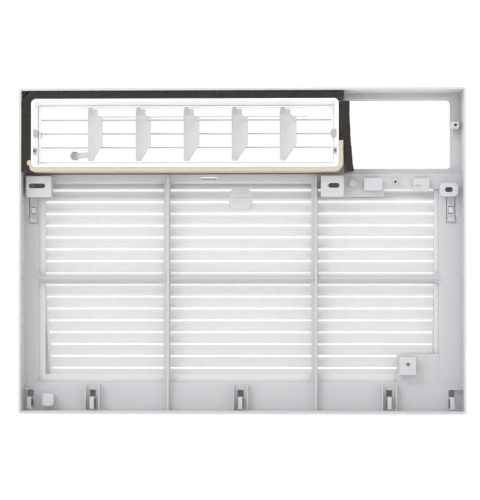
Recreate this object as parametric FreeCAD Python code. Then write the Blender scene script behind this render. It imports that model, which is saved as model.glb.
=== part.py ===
"""Front panel assembly of a window air conditioner.

Millimetres. X runs across the panel, Z up, Y from the open rear rim (towards the
cabinet) to the room side. Everything is laid out with Y = 0 at the rear rim and is
moved by half the depth when it is written, so the origin is the bottom centre.
"""
import FreeCAD
import Part
import math
import os

V = FreeCAD.Vector

# ---- overall size -----------------------------------------------------------
WIDTH = 500.0
HEIGHT = 364.0
DEPTH = 55.0            # rear rim to the face of the inlet grille
RIM_T = 2.5             # moulded rim wall
SKIN_T = 2.5            # moulded plates
CORNER_R = 3.0
PLATE_Y = 34.0          # rear face of the lower plate
UPPER_Y = 44.0          # rear face of the plate round the two upper openings
BEZEL_Y = 50.0          # front edge of the raised bezels
BEZEL_T = 2.0
GAP = 0.4               # between pieces of different bodies
RUN = 0.05              # radial clearance of pins in their bores

LEFT = -WIDTH / 2
RIGHT = WIDTH / 2

# ---- control window (top right) ---------------------------------------------
CONTROL_W = 118.0
CONTROL_H = 77.6
CONTROL_EDGE_X = 14.4   # to the right side of the panel
CONTROL_EDGE_Z = 10.2   # to the top of the panel
CONTROL_STEP_X = 2.6    # width of the step round the window
CONTROL_STEP_Z = 3.6
CONTROL_FRONT_Y = 53.5  # front face of the window's surround
CONTROL_FACE_T = 1.8
CONTROL_R = 3.5
CONTROL_X1 = RIGHT - CONTROL_EDGE_X
CONTROL_X0 = CONTROL_X1 - CONTROL_W
CONTROL_Z1 = HEIGHT - CONTROL_EDGE_Z
CONTROL_Z0 = CONTROL_Z1 - CONTROL_H

# ---- discharge duct (top left) ----------------------------------------------
FOAM_SIDE_T = 11.0
FOAM_TOP_T = 9.1
FOAM_BASE_T = 5.4
DUCT_TO_CONTROL = 9.2
DUCT_H = 76.7
DUCT_Y0 = 3.0
DUCT_LIP = 2.0
DUCT_R = 5.0
DUCT_X0 = LEFT + RIM_T + FOAM_SIDE_T
DUCT_X1 = CONTROL_X0 - DUCT_TO_CONTROL
DUCT_Z1 = HEIGHT - RIM_T - FOAM_TOP_T
DUCT_Z0 = DUCT_Z1 - DUCT_H

# ---- tilting louver cassette ------------------------------------------------
CASSETTE_MARGIN_X = 6.0
CASSETTE_TOP = 6.4      # from the duct's top to the cassette's rear edge
CASSETTE_BASE = 6.5
CASSETTE_Y0 = 23.0
CASSETTE_DEPTH = 20.0
CASSETTE_T = 1.4
CASSETTE_R = 2.5
TILT_GAP = 0.5          # all round the swinging cassette
THROAT_R = 1.0          # small, because the cassette's corners swing past it
CAS_X0 = DUCT_X0 + CASSETTE_MARGIN_X
CAS_X1 = DUCT_X1 - CASSETTE_MARGIN_X
CAS_Z0 = DUCT_Z0 + CASSETTE_BASE
CAS_Z1 = DUCT_Z1 - CASSETTE_TOP
CAS_Y1 = CASSETTE_Y0 + CASSETTE_DEPTH
TILT_Y = CASSETTE_Y0 + CASSETTE_DEPTH / 2
TILT_Z = (CAS_Z0 + CAS_Z1) / 2
SWING_R = math.hypot((CAS_Z1 - CAS_Z0) / 2, CASSETTE_DEPTH / 2)
BLADES = 3
BLADE_T = 1.3
BLADE_Y0 = 35.6
BLADE_PITCH = 15.6
BLADE_SHIFT = 1.5       # the blades stand this much above the cassette's middle
PIVOT_R = 3.6           # tilt pins
BUSH_R = 4.1            # round back of the right bush

# ---- vertical vanes and their link ------------------------------------------
VANES = 5
VANE_PITCH = 54.5
VANE_T = 1.2
VANE_Y = 29.6           # turning axis
VANE_REST = math.radians(38.0)
VANE_AHEAD = 4.8        # plate in front of the axis
VANE_BEHIND = 25.0      # plate behind the axis
VANE_PIN_R = 1.5
VANE_COLLAR_R = 2.6
VANE_CHAMFER = 17.0     # height of the slanted lower rear corner
VANE_TOP_GAP = 2.4
LINK_RADIUS = 23.0      # from the turning axis to the link pins
LINK_BELOW_TOP = 13.6
LINK_T = 1.3
LINK_PIN_R = 0.8
LINK_PLAY = 0.35        # play of the link pins in vanes 2 to 5
LINK_TAIL = 13.0        # the rod runs on past the last vane
ARM_LENGTH = 27.6
ARM_ANGLE = math.radians(46.0)
ARM_Z = 8.9             # middle of the arm above the cassette's underside
ARM_H = 6.6
GRIP_R = 5.2
GRIP_T = 2.4
FIN_REACH = 4.2         # fins on the rear of the finger disc
FIN_PITCH = 2.3
FIN_T = 1.1
CAS_MID_X = (CAS_X0 + CAS_X1) / 2
VANE_SHIFT = 0.6
VANE_X = [CAS_MID_X + VANE_SHIFT + VANE_PITCH * (i - (VANES - 1) / 2) for i in range(VANES)]

# ---- lower plate, intake windows and their bars -----------------------------
STEP_TOP = DUCT_Z0 - FOAM_BASE_T - 1.3
STEP_Z = STEP_TOP - SKIN_T
WINDOW_EDGE_LEFT = 18.1
WINDOW_EDGE_RIGHT = 28.1
WINDOW_Z0 = 33.8
WINDOW_BELOW_STEP = 4.0
WINDOW_R = 5.0
BAR_W = 7.2
BAR_PLACES = (0.3224, 0.6908)   # share of the opening's width
BAR_LEVEL = 0.513               # share of the opening's height
BAR_RIB_T = 1.8
BAR_RIB_H = 9.0
WINDOW_X0 = LEFT + WINDOW_EDGE_LEFT
WINDOW_X1 = RIGHT - WINDOW_EDGE_RIGHT
WINDOW_Z1 = STEP_Z - WINDOW_BELOW_STEP
BAR_X = [WINDOW_X0 + share * (WINDOW_X1 - WINDOW_X0) for share in BAR_PLACES]
BAR_Z = WINDOW_Z0 + BAR_LEVEL * (WINDOW_Z1 - WINDOW_Z0)

# ---- screw tabs, bosses and pads on the rear of the plate --------------------
TAB_RISE = 19.0
TAB_WALL = 2.0
TAB_Z1 = STEP_Z - 0.2
TAB_H = 23.6
SLOT_LIFT = 0.9         # slots above the middle of their tabs
TAB_LEFT_X = LEFT + 6.3
TAB_LEFT_W = 28.3
TAB_MID_X = DUCT_X1 - 19.7
TAB_MID_W = 25.6
SLOT_W = 5.5
SLOT_LONG = 18.4
SLOT_MID = 12.4
SLOT_SHORT = 8.8
EAR_W = 20.0
EAR_H = 15.0
EAR_X = RIGHT - 28.0
EAR_Z = STEP_Z - 23.6
BAND_STEP = 46.0        # the deeper part of the band right of the middle tab
BAND_LOW = 23.0
BAND_HIGH = 14.4
KEY_DEPTH = 1.2         # blind key slot in the small pad
SCREW_R = 1.6
BOSS_R = 3.0
SIDE_BOSS = 7.6         # the square boss beside the control window
SIDE_BOSS_X = 10.2      # from the panel's right side
SIDE_BOSS_Z = 47.1      # above the foot of the control window
SIDE_BOSS_LONG = 26.0
SIDE_BORE = 24.5        # depth of its pilot hole
BOSS_WEB = 2.0
BOSS_WEB_LONG = 18.0

# ---- bottom hooks -------------------------------------------------------------
HOOK_X = (LEFT + 9.4, LEFT + 80.4, -2.2, RIGHT - 84.6, RIGHT - 14.4)
HOOK_W = 4.6
HOOK_HOLE_W = 6.8
HOOK_HOLE_H = 21.5
HOOK_HOLE_Z0 = RIM_T + 1.0
HOOK_ROOT = 0.53        # share of the hole's height at which the finger stands
HOOK_REACH = 15.0
HOOK_T = 2.6
HOOK_DROP = 10.6
HOOK_RIB_SPACING = 15.5
HOOK_RIB_T = 1.2

# ---- sprung latches -------------------------------------------------------------
LATCH_X = (LEFT + 12.3, RIGHT - 14.7)
LATCH_Z1 = STEP_Z - 23.4
LATCH_H = 29.5
LATCH_HOLE_W = 10.2
LATCH_W = 8.4
LATCH_T = 2.1
LATCH_EYE_W = 5.6
LATCH_EYE_H = 8.4
HOOK_PLAY = 0.8         # above and below the door's hook in the eye
LATCH_PIN_R = 1.0

# ---- inlet grille (the door) and filter ----------------------------------------
DOOR_SIDE = 2.0
DOOR_Z0 = 3.0
DOOR_TOP_GAP = 1.2
DOOR_Y0 = PLATE_Y + SKIN_T + 1.1
DOOR_WALL = 2.5
DOOR_HINGE_Y = 48.0
DOOR_HINGE_Z = 10.0
DOOR_PIN_R = 2.2
DOOR_NOTCH_Z = 18.0
LUG_INSET = 1.8
LUG_T = 3.0
LUG_R = 3.9
LUG_ROOM = 1.2          # room beside each lug in the door's foot
SLATS = 17
SLAT_PITCH = 13.5
SLAT_GAP = 2.25
SLAT_Y0 = 43.0
SLAT_EDGE = 3.0
FIELD_X0 = WINDOW_X0 + 5.9
FIELD_X1 = WINDOW_X1 - 4.9
FIELD_FOOT = 9.0        # the left side of the slat field leans in towards its foot
SLAT_TOP = WINDOW_Z1 - 10.4
BADGE_R = 14.0
BADGE_T = 1.0
BADGE_LIP = 1.6
BADGE_X = -2.5
BADGE_Z = WINDOW_Z1 - 20.5
DOOR_X0 = LEFT + DOOR_SIDE
DOOR_X1 = RIGHT - DOOR_SIDE
DOOR_Z1 = STEP_Z - DOOR_TOP_GAP
FILTER_Y0 = 39.1
FILTER_T = 3.0
FILTER_RIM = 10.0
FILTER_BAR = 4.0
FILTER_X0 = FIELD_X0 - 8.5
FILTER_X1 = FIELD_X1 + 9.6
FILTER_Z0 = WINDOW_Z0 - 1.3
FILTER_LIFT = 3.0       # play upwards while the door is shut
FILTER_Z1 = STEP_Z - FILTER_LIFT - 0.8
FILTER_TOP_BAR = 4.0
FILTER_R = 3.0
CELL_R = 1.5
MESH_T = 0.8
MESH_HELD = 2.0         # depth of the net's edge in the frame


# ---- helpers ------------------------------------------------------------------
def box(x0, x1, y0, y1, z0, z1):
    """Box between two corners."""
    return Part.makeBox(x1 - x0, y1 - y0, z1 - z0, V(x0, y0, z0))


def rod_x(x0, x1, y, z, r):
    return Part.makeCylinder(r, x1 - x0, V(x0, y, z), V(1, 0, 0))


def rod_y(x, z, r, y0, y1):
    return Part.makeCylinder(r, y1 - y0, V(x, y0, z), V(0, 1, 0))


def rod_z(x, y, r, z0, z1):
    return Part.makeCylinder(r, z1 - z0, V(x, y, z0), V(0, 0, 1))


def fuse(shapes):
    joined = shapes[0].multiFuse(shapes[1:]) if len(shapes) > 1 else shapes[0]
    return joined.removeSplitter()


def cut(shape, tools):
    for tool in tools:
        shape = shape.cut(tool)
    return shape


def rounded_wire(x0, x1, z0, z1, r, y):
    """Rectangle in a plane of constant Y, its corners rounded to radius r."""
    edges = []
    corners = ((x1, z0, -90), (x1, z1, 0), (x0, z1, 90), (x0, z0, 180))
    ends = []
    for x, z, start in corners:
        cx = x - r if x == x1 else x + r
        cz = z - r if z == z1 else z + r
        angles = [math.radians(start + step) for step in (0, 45, 90)]
        points = [V(cx + r * math.cos(a), y, cz + r * math.sin(a)) for a in angles]
        ends.append(points)
    for i, points in enumerate(ends):
        before = ends[i - 1][2]
        if before.distanceToPoint(points[0]) > 1e-6:
            edges.append(Part.LineSegment(before, points[0]).toShape())
        edges.append(Part.Arc(*points).toShape())
    return Part.Wire(edges)


def rounded_prism(x0, x1, z0, z1, r, y0, y1):
    face = Part.Face(rounded_wire(x0, x1, z0, z1, r, y0))
    return face.extrude(V(0, y1 - y0, 0))


def slot_prism(x, z, length, width, y0, y1):
    """Slot along X with round ends."""
    return rounded_prism(x - length / 2, x + length / 2, z - width / 2, z + width / 2, width / 2, y0, y1)


def tapered(rear, front, y0, y1):
    """Solid between two rounded rectangles given as (x0, x1, z0, z1, r)."""
    return Part.makeLoft([rounded_wire(*rear, y0), rounded_wire(*front, y1)], True, True)


def plate_xz(points, y0, y1):
    """Prism along Y over a polygon of (x, z) points."""
    wire = Part.makePolygon([V(x, y0, z) for x, z in points + points[:1]])
    return Part.Face(wire).extrude(V(0, y1 - y0, 0))


def plate_yz(points, x0, x1):
    """Prism along X over a polygon of (y, z) points."""
    wire = Part.makePolygon([V(x0, y, z) for y, z in points + points[:1]])
    return Part.Face(wire).extrude(V(x1 - x0, 0, 0))


def save(name, shape):
    solids = shape.Solids
    shape = solids[0] if len(solids) == 1 else Part.makeCompound(solids)
    shape.translate(V(0, -DEPTH / 2, 0))
    shape.exportStep("parts/" + name + ".step")
    print(name, len(solids), round(shape.Volume), shape.isValid())


# ---- front panel moulding -------------------------------------------------------
def panel_shell():
    """Rim, lower plate, and the upper plate that stands further forward."""
    lower = rounded_prism(LEFT, RIGHT, 0, HEIGHT, CORNER_R, 0, PLATE_Y + SKIN_T)
    upper = box(LEFT, RIGHT, PLATE_Y, UPPER_Y + SKIN_T, STEP_Z, HEIGHT)
    front = [e for e in upper.Edges if all(v.Point.y > UPPER_Y for v in e.Vertexes)]
    upper = upper.makeFillet(SKIN_T * 0.8, front)
    uprights = rounded_prism(LEFT, RIGHT, 0, HEIGHT, CORNER_R, 0, DEPTH)
    shell = fuse([lower, upper.common(uprights)])
    hollow = box(LEFT + RIM_T, RIGHT - RIM_T, -1, PLATE_Y, RIM_T, HEIGHT - RIM_T)
    deep = box(LEFT + RIM_T, RIGHT - RIM_T, -1, UPPER_Y, STEP_TOP, HEIGHT - RIM_T)
    return cut(shell, [hollow, deep])


def control_tunnel():
    """Stepped surround of the control window, and the spaces inside it."""
    front = (CONTROL_X0, CONTROL_X1, CONTROL_Z0, CONTROL_Z1, CONTROL_R)
    rear = (CONTROL_X0 - 1, CONTROL_X1 + CONTROL_STEP_X,
            CONTROL_Z0 - CONTROL_STEP_Z, CONTROL_Z1 + 1, CONTROL_R)
    t = BEZEL_T
    grown = (rear[0] - t, rear[1] + t, rear[2] - t, rear[3] + t, CONTROL_R + t)
    outer = rounded_prism(*grown, UPPER_Y, CONTROL_FRONT_Y)
    edges = [e for e in outer.Edges if all(v.Point.y > CONTROL_FRONT_Y - 0.1 for v in e.Vertexes)]
    outer = outer.makeFillet(CONTROL_FACE_T * 0.7, edges)
    deep = rounded_prism(*rear, UPPER_Y - 1, CONTROL_FRONT_Y - CONTROL_FACE_T)
    window = rounded_prism(*front, UPPER_Y, CONTROL_FRONT_Y + 1)
    return outer, [deep, window]


def throat_outline(grow):
    """The duct's straight part, which clears the swinging cassette, grown by a wall."""
    rim = TILT_GAP + grow
    half = SWING_R + rim
    return (CAS_X0 - rim, CAS_X1 + rim, TILT_Z - half, TILT_Z + half, THROAT_R + grow)


def duct_throat(grow, y0, y1):
    return rounded_prism(*throat_outline(grow), y0, y1)


def intake_windows():
    """Six windows between the bars; the top right one makes room for the screw band."""
    columns = [(WINDOW_X0, BAR_X[0] - BAR_W / 2),
               (BAR_X[0] + BAR_W / 2, BAR_X[1] - BAR_W / 2),
               (BAR_X[1] + BAR_W / 2, WINDOW_X1)]
    rows = [(WINDOW_Z0, BAR_Z - BAR_W / 2), (BAR_Z + BAR_W / 2, WINDOW_Z1)]
    holes = []
    for x0, x1 in columns:
        for z0, z1 in rows:
            holes.append(rounded_prism(x0, x1, z0, z1, WINDOW_R, PLATE_Y - 1, PLATE_Y + SKIN_T + 1))
    return holes


def raised_pad(x0, x1, z0, z1, rise, radius):
    """Hollow pad that stands back from the plate; returns its wall and its inside."""
    top = PLATE_Y - rise
    outer = rounded_prism(x0, x1, z0, z1, radius, top, PLATE_Y + SKIN_T)
    w = TAB_WALL
    inner_r = max(radius - w, 0.4)
    inner = rounded_prism(x0 + w, x1 - w, z0 + w, z1 - w, inner_r,
                          top + SKIN_T, PLATE_Y + SKIN_T + 1)
    return outer, inner


def screw_features():
    """Slotted tabs, pads and bosses: (solids to add, solids to remove)."""
    add = []
    remove = []
    tabs = ((TAB_LEFT_X, TAB_LEFT_W, SLOT_LONG, -1.9), (TAB_MID_X, TAB_MID_W, SLOT_MID, 1.7))
    for x0, width, slot, shift in tabs:
        outer, inner = raised_pad(x0, x0 + width, TAB_Z1 - TAB_H, TAB_Z1, TAB_RISE, 1.0)
        add.append(outer)
        remove.append(inner)
        remove.append(slot_prism(x0 + width / 2 + shift, TAB_Z1 - TAB_H / 2 + SLOT_LIFT, slot, SLOT_W,
                                 PLATE_Y - TAB_RISE - 1, PLATE_Y))
    outer, inner = raised_pad(EAR_X, EAR_X + EAR_W, EAR_Z, EAR_Z + EAR_H, TAB_RISE, 4.5)
    add.append(outer)
    remove.append(inner)
    remove.append(slot_prism(EAR_X + EAR_W / 2, EAR_Z + EAR_H / 2, SLOT_SHORT, SLOT_W,
                             PLATE_Y - TAB_RISE - 1, PLATE_Y))
    return add, remove


def band_solids():
    """Plate band under the control window, with its two pads."""
    x0 = TAB_MID_X
    x_step = TAB_MID_X + TAB_MID_W + BAND_STEP
    band = plate_xz([(x0, STEP_Z), (x0, TAB_Z1 - TAB_H), (x_step, STEP_Z - BAND_LOW),
                     (x_step, STEP_Z - BAND_HIGH), (WINDOW_X1 + 1, STEP_Z - BAND_HIGH),
                     (WINDOW_X1 + 1, STEP_Z)], PLATE_Y, PLATE_Y + SKIN_T)
    corner = box(LEFT + RIM_T, TAB_LEFT_X + TAB_LEFT_W, PLATE_Y, PLATE_Y + SKIN_T,
                 TAB_Z1 - TAB_H, STEP_Z)
    pad_wall, pad_hollow = raised_pad(x_step - 23, x_step - 2.5, STEP_Z - 16.5, STEP_Z - 3, 14, 1.5)
    key_wall, key_hollow = raised_pad(x_step + 32.5, x_step + 50.5, STEP_Z - 15.8, STEP_Z - 3, 8, 1.5)
    key_slot = slot_prism(x_step + 37.5, STEP_Z - 11.5, 6.0, 3.0, PLATE_Y - 9, PLATE_Y - 8 + KEY_DEPTH)
    post = rod_y(TAB_MID_X + TAB_MID_W + 10.5, STEP_Z - 8, 4.2, PLATE_Y - 5, PLATE_Y)
    return [band, corner, pad_wall, key_wall, post], [pad_hollow, key_hollow, key_slot]


def screw_bosses():
    """Round bosses with pilot holes, the corner block and the square peg."""
    add = []
    remove = []
    side_x = RIGHT - SIDE_BOSS_X
    side_z = CONTROL_Z0 + SIDE_BOSS_Z
    side_y = UPPER_Y - SIDE_BOSS_LONG
    band_x = TAB_MID_X + TAB_MID_W + BAND_STEP + 12.4
    band_z = STEP_Z - 6.6
    add.append(box(side_x - SIDE_BOSS / 2, side_x + SIDE_BOSS / 2, side_y, UPPER_Y + 1,
                   side_z - SIDE_BOSS / 2, side_z + SIDE_BOSS / 2))
    add.append(box(side_x, RIGHT - RIM_T / 2, UPPER_Y - BOSS_WEB_LONG, UPPER_Y + 1,
                   side_z - BOSS_WEB / 2, side_z + BOSS_WEB / 2))
    remove.append(rod_y(side_x, side_z, SCREW_R, side_y - 1, side_y + SIDE_BORE))
    add.append(rod_y(band_x, band_z, BOSS_R, PLATE_Y - 8, PLATE_Y))
    remove.append(rod_y(band_x, band_z, SCREW_R, PLATE_Y - 9, PLATE_Y))
    block_x0 = WINDOW_X1 - 45.3
    block_z0 = WINDOW_Z0 + 8.8
    add.append(box(WINDOW_X1 - 48.1, WINDOW_X1 + 1, PLATE_Y, PLATE_Y + SKIN_T,
                   WINDOW_Z0 - 1, WINDOW_Z0 + 32))
    wall, hollow = raised_pad(block_x0, block_x0 + 18.4, block_z0, block_z0 + 20.1, 14, 1.5)
    add.append(wall)
    remove.append(hollow)
    remove.append(rod_y(block_x0 + 9.8, block_z0 + 12, 2.2, PLATE_Y - 15, PLATE_Y))
    peg_wall, peg_hollow = raised_pad(LEFT + 24.9, LEFT + 37.1, 7.6, 21.4, 16, 2.5)
    add.append(peg_wall)
    remove.append(peg_hollow)
    return add, remove


def bar_ribs():
    """Thin stiffening ribs behind the bars; the upright ones run down to the rim."""
    ribs = []
    for x in BAR_X:
        ribs.append(box(x + 0.6, x + 0.6 + BAR_RIB_T, PLATE_Y - BAR_RIB_H, PLATE_Y + 0.5,
                        RIM_T - 0.5, STEP_Z))
    ribs.append(box(WINDOW_X0 - 1, WINDOW_X1 + 1, PLATE_Y - 3, PLATE_Y + 0.5,
                    BAR_Z - BAR_RIB_T / 2, BAR_Z + BAR_RIB_T / 2))
    return ribs


def bottom_hooks():
    """Fingers over the rim that drop behind the cabinet's base flange."""
    add = []
    remove = []
    for i, x in enumerate(HOOK_X):
        hole_z0 = HOOK_HOLE_Z0
        hole_z1 = hole_z0 + HOOK_HOLE_H
        remove.append(box(x - HOOK_HOLE_W / 2, x + HOOK_HOLE_W / 2, PLATE_Y - 1, PLATE_Y + SKIN_T + 1,
                          hole_z0, hole_z1))
        root_z = hole_z0 + HOOK_HOLE_H * HOOK_ROOT
        y_tip = PLATE_Y - HOOK_REACH
        profile = [(PLATE_Y + SKIN_T, root_z), (PLATE_Y + SKIN_T, root_z + HOOK_T),
                   (y_tip + 2, root_z + HOOK_T), (y_tip, root_z + HOOK_T - 2),
                   (y_tip, root_z - HOOK_DROP), (y_tip + HOOK_T, root_z - HOOK_DROP),
                   (y_tip + HOOK_T, root_z)]
        add.append(plate_yz(profile, x - HOOK_W / 2, x + HOOK_W / 2))
        add.append(box(x - HOOK_HOLE_W / 2 - 0.5, x + HOOK_HOLE_W / 2 + 0.5,
                       PLATE_Y, PLATE_Y + SKIN_T, root_z, root_z + HOOK_T))
        sides = (-1, 1)
        if i in (0, len(HOOK_X) - 1):
            sides = ()
            edge = LEFT if i == 0 else RIGHT
            add.append(box(min(edge, x), max(edge, x), PLATE_Y - 12, PLATE_Y + 0.5,
                           hole_z1 + 1, hole_z1 + 1 + HOOK_RIB_T))
        for side in sides:
            rib_x = x + side * HOOK_RIB_SPACING / 2
            add.append(box(rib_x - HOOK_RIB_T / 2, rib_x + HOOK_RIB_T / 2, PLATE_Y - 10,
                           PLATE_Y + 0.5, RIM_T - 0.5, hole_z1 + 6))
    return add, remove


def latch_seats():
    """Holes of the latch tongues and the bores of their pins."""
    remove = []
    for x in LATCH_X:
        remove.append(box(x - LATCH_HOLE_W / 2, x + LATCH_HOLE_W / 2, PLATE_Y - 1, PLATE_Y + SKIN_T + 1,
                          LATCH_Z1 - LATCH_H, LATCH_Z1))
        remove.append(rod_x(x - LATCH_HOLE_W / 2 - 1.5, x + LATCH_HOLE_W / 2 + 1.5,
                            PLATE_Y + SKIN_T / 2, LATCH_Z1 - LATCH_H + 2, LATCH_PIN_R + RUN))
    return remove


def lug_spans():
    """X ranges of the two hinge lugs."""
    outer = RIGHT - DOOR_SIDE - DOOR_WALL - LUG_INSET
    return ((-outer, LUG_T - outer), (outer - LUG_T, outer))


def hinge_lugs():
    """Two lugs on the front of the plate that carry the grille's pins."""
    add = []
    remove = []
    for x0, x1 in lug_spans():
        add.append(rod_x(x0, x1, DOOR_HINGE_Y, DOOR_HINGE_Z, LUG_R))
        add.append(box(x0, x1, PLATE_Y + 0.5, DOOR_HINGE_Y, DOOR_HINGE_Z - LUG_R, DOOR_HINGE_Z + LUG_R))
        remove.append(rod_x(x0 - 1, x1 + 1, DOOR_HINGE_Y, DOOR_HINGE_Z, DOOR_PIN_R + RUN))
    return add, remove


def rim_teeth():
    """Small locating teeth inside the rim, in short rows."""
    size = 1.6
    pitch = 3.9
    y0 = 6.0
    teeth = []
    for start, count in ((RIGHT - 110.0, 4), (RIGHT - 41.0, 2), (LEFT + 36.0, 2)):
        for i in range(count):
            x = start + i * pitch
            teeth.append(box(x, x + size, y0, y0 + size, HEIGHT - RIM_T - 1.0, HEIGHT - RIM_T + 0.5))
    for i in range(4):
        z = HEIGHT * 0.28 + i * pitch
        teeth.append(box(LEFT + RIM_T - 0.5, LEFT + RIM_T + 1.0, y0, y0 + size, z, z + size))
        teeth.append(box(RIGHT - RIM_T - 1.0, RIGHT - RIM_T + 0.5, y0, y0 + size, z - 2, z - 2 + size))
    return teeth


def front_panel():
    shell = panel_shell()
    shell = cut(shell, intake_windows())
    outer, control_spaces = control_tunnel()
    band_add, band_remove = band_solids()
    tab_add, tab_remove = screw_features()
    boss_add, boss_remove = screw_bosses()
    hook_add, hook_remove = bottom_hooks()
    lug_add, lug_remove = hinge_lugs()
    shell = cut(shell, hook_remove)
    bezel = duct_throat(BEZEL_T, UPPER_Y, BEZEL_Y)
    parts = [shell, outer, bezel] + band_add + tab_add + boss_add + hook_add + lug_add
    body = fuse(parts + bar_ribs() + rim_teeth())
    recess = plate_xz([(-48.1, STEP_Z + 0.2), (-46, STEP_Z - 4), (-30, STEP_Z - 4), (-28, STEP_Z + 0.2)],
                      PLATE_Y - 1, PLATE_Y + SKIN_T + 1)
    tools = control_spaces + [duct_throat(0, UPPER_Y - 1, BEZEL_Y + 1), recess]
    return cut(body, tools + band_remove + tab_remove + boss_remove + lug_remove + latch_seats())


# ---- the panel moulding cut into simple parts --------------------------------------
RIM_LIP = 1.2           # strip of plate and the teeth that stay with the rim


def hook_zones():
    """Boxes round the five hook fingers, inside their stiffening ribs."""
    half = HOOK_W / 2 + 0.5
    z1 = HOOK_HOLE_Z0 + HOOK_HOLE_H
    return [box(x - half, x + half, -1, PLATE_Y, HOOK_HOLE_Z0, z1) for x in HOOK_X]


def tab_zones():
    """Boxes round the three slotted tabs."""
    zones = [box(x0 - 0.1, x0 + width + 0.1, -1, PLATE_Y, TAB_Z1 - TAB_H - 0.1, STEP_Z)
             for x0, width in ((TAB_LEFT_X, TAB_LEFT_W), (TAB_MID_X, TAB_MID_W))]
    zones.append(box(EAR_X - 0.1, EAR_X + EAR_W + 0.1, -1, PLATE_Y, EAR_Z - 0.1, EAR_Z + EAR_H + 0.1))
    return zones


def panel_parts():
    """The one moulding in flat-cut parts that touch face to face: (name, solid or solids)."""
    x0 = LEFT + RIM_T + RIM_LIP
    x1 = RIGHT - RIM_T - RIM_LIP
    z0 = RIM_T + RIM_LIP
    z1 = HEIGHT - RIM_T - RIM_LIP
    between = CONTROL_X0 - DUCT_TO_CONTROL / 2
    steps = (("panel_side_boss", [box(between, x1, -1, UPPER_Y, STEP_TOP, z1)]),
             ("panel_window_rails", [box(between, x1, -1, DEPTH, STEP_Z, CONTROL_Z0),
                                     box(between, x1, -1, DEPTH, CONTROL_Z1, z1)]),
             ("panel_window_sides", [box(between, x1, -1, DEPTH, CONTROL_Z0, CONTROL_Z1)]),
             ("panel_upper_left", [box(x0, between, -1, DEPTH, STEP_Z, z1)]),
             ("panel_hooks", hook_zones()),
             ("panel_screw_tabs", tab_zones()),
             ("panel_ribs", [box(x0, x1, -1, PLATE_Y, z0, STEP_Z)]),
             ("panel_bars", [box(WINDOW_X0, WINDOW_X1, PLATE_Y, DEPTH, WINDOW_Z0, STEP_Z)]),
             ("panel_foot", [box(x0, x1, PLATE_Y, DEPTH, z0, WINDOW_Z0)]),
             ("panel_side_left", [box(x0, WINDOW_X0, PLATE_Y, DEPTH, WINDOW_Z0, STEP_Z)]),
             ("panel_side_right", [box(WINDOW_X1, x1, PLATE_Y, DEPTH, WINDOW_Z0, STEP_Z)]))
    rest = front_panel()
    parts = []
    for name, zones in steps:
        parts.append((name, Part.makeCompound([s for zone in zones for s in rest.common(zone).Solids])))
        rest = cut(rest, zones)
    return parts + [("panel_rim", rest)]


# ---- discharge duct and its small parts -------------------------------------------
BUSH_Y0 = 4.5
BUSH_Y1 = TILT_Y + 5.0
BUSH_H = 2 * PIVOT_R + 0.6
BUSH_CORE_H = 6.6       # the part of the right bush behind its round back
BARREL_Y1 = CASSETTE_Y0 - 1.6
PIN_REACH = 1.9         # how far the tilt pins stand inside the cassette
DETENT_Z = TILT_Z - 20.0
DETENT_Y0 = 3.6
DETENT_Y1 = 13.0
DETENT_H = 7.0


def discharge_duct():
    """Funnel that narrows to the throat the cassette turns in."""
    lip = DUCT_LIP
    mouth = (DUCT_X0 + lip, DUCT_X1 - lip, DUCT_Z0 + lip, DUCT_Z1 - lip, DUCT_R - lip)
    outer = rounded_prism(DUCT_X0, DUCT_X1, DUCT_Z0, DUCT_Z1, DUCT_R, DUCT_Y0, UPPER_Y)
    drum = rod_x(CAS_X0 - TILT_GAP, CAS_X1 + TILT_GAP, TILT_Y, TILT_Z, SWING_R + TILT_GAP)
    half = math.sqrt((SWING_R + TILT_GAP) ** 2 - (CASSETTE_DEPTH / 2) ** 2)
    neck = (CAS_X0 - TILT_GAP, CAS_X1 + TILT_GAP, TILT_Z - half, TILT_Z + half, THROAT_R)
    tools = [tapered(mouth, neck, DUCT_Y0, CASSETTE_Y0), drum, duct_throat(0, TILT_Y, UPPER_Y + 1)]
    for side, height in ((0, BUSH_H), (1, BUSH_CORE_H)):
        tools.append(side_block(side, BUSH_Y0, BUSH_Y1, TILT_Z, height))
        tools.append(side_block(side, DETENT_Y0, DETENT_Y1, DETENT_Z, DETENT_H))
    tools.append(bush_barrel())
    return cut(outer, tools)


def side_block(side, y0, y1, z, height):
    """Block let into the duct's side wall, up to the cassette's side."""
    inner = CAS_X0 - GAP if side == 0 else CAS_X1 + GAP
    outer = DUCT_X0 + 1.0 if side == 0 else DUCT_X1 - 1.0
    return box(min(inner, outer), max(inner, outer), y0, y1, z - height / 2, z + height / 2)


def bush_barrel():
    return rod_y(CAS_X1 + 0.8, TILT_Z, BUSH_R, BUSH_Y0, BARREL_Y1)


def pivot_bush(side):
    """Block with the pin that the cassette turns on; the right one has a round back."""
    if side == 0:
        block = side_block(side, BUSH_Y0, BUSH_Y1, TILT_Z, BUSH_H)
        pin = rod_x(CAS_X0 - TILT_GAP, CAS_X0 + PIN_REACH, TILT_Y, TILT_Z, PIVOT_R)
        return fuse([block, pin])
    block = side_block(side, BARREL_Y1 - 3, BUSH_Y1, TILT_Z, BUSH_CORE_H)
    pin = rod_x(CAS_X1 - PIN_REACH, CAS_X1 + TILT_GAP, TILT_Y, TILT_Z, PIVOT_R)
    return fuse([block, bush_barrel(), pin])


def tilt_detent(side):
    """Click spring block beside the cassette, with a vee notch across its face."""
    block = side_block(side, DETENT_Y0, DETENT_Y1, DETENT_Z, DETENT_H)
    notch = plate_yz([(DETENT_Y0 - 0.1, DETENT_Z - 2.0), (DETENT_Y0 + 4, DETENT_Z),
                      (DETENT_Y0 - 0.1, DETENT_Z + 2.0)], LEFT, RIGHT)
    return block.cut(notch)


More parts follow.
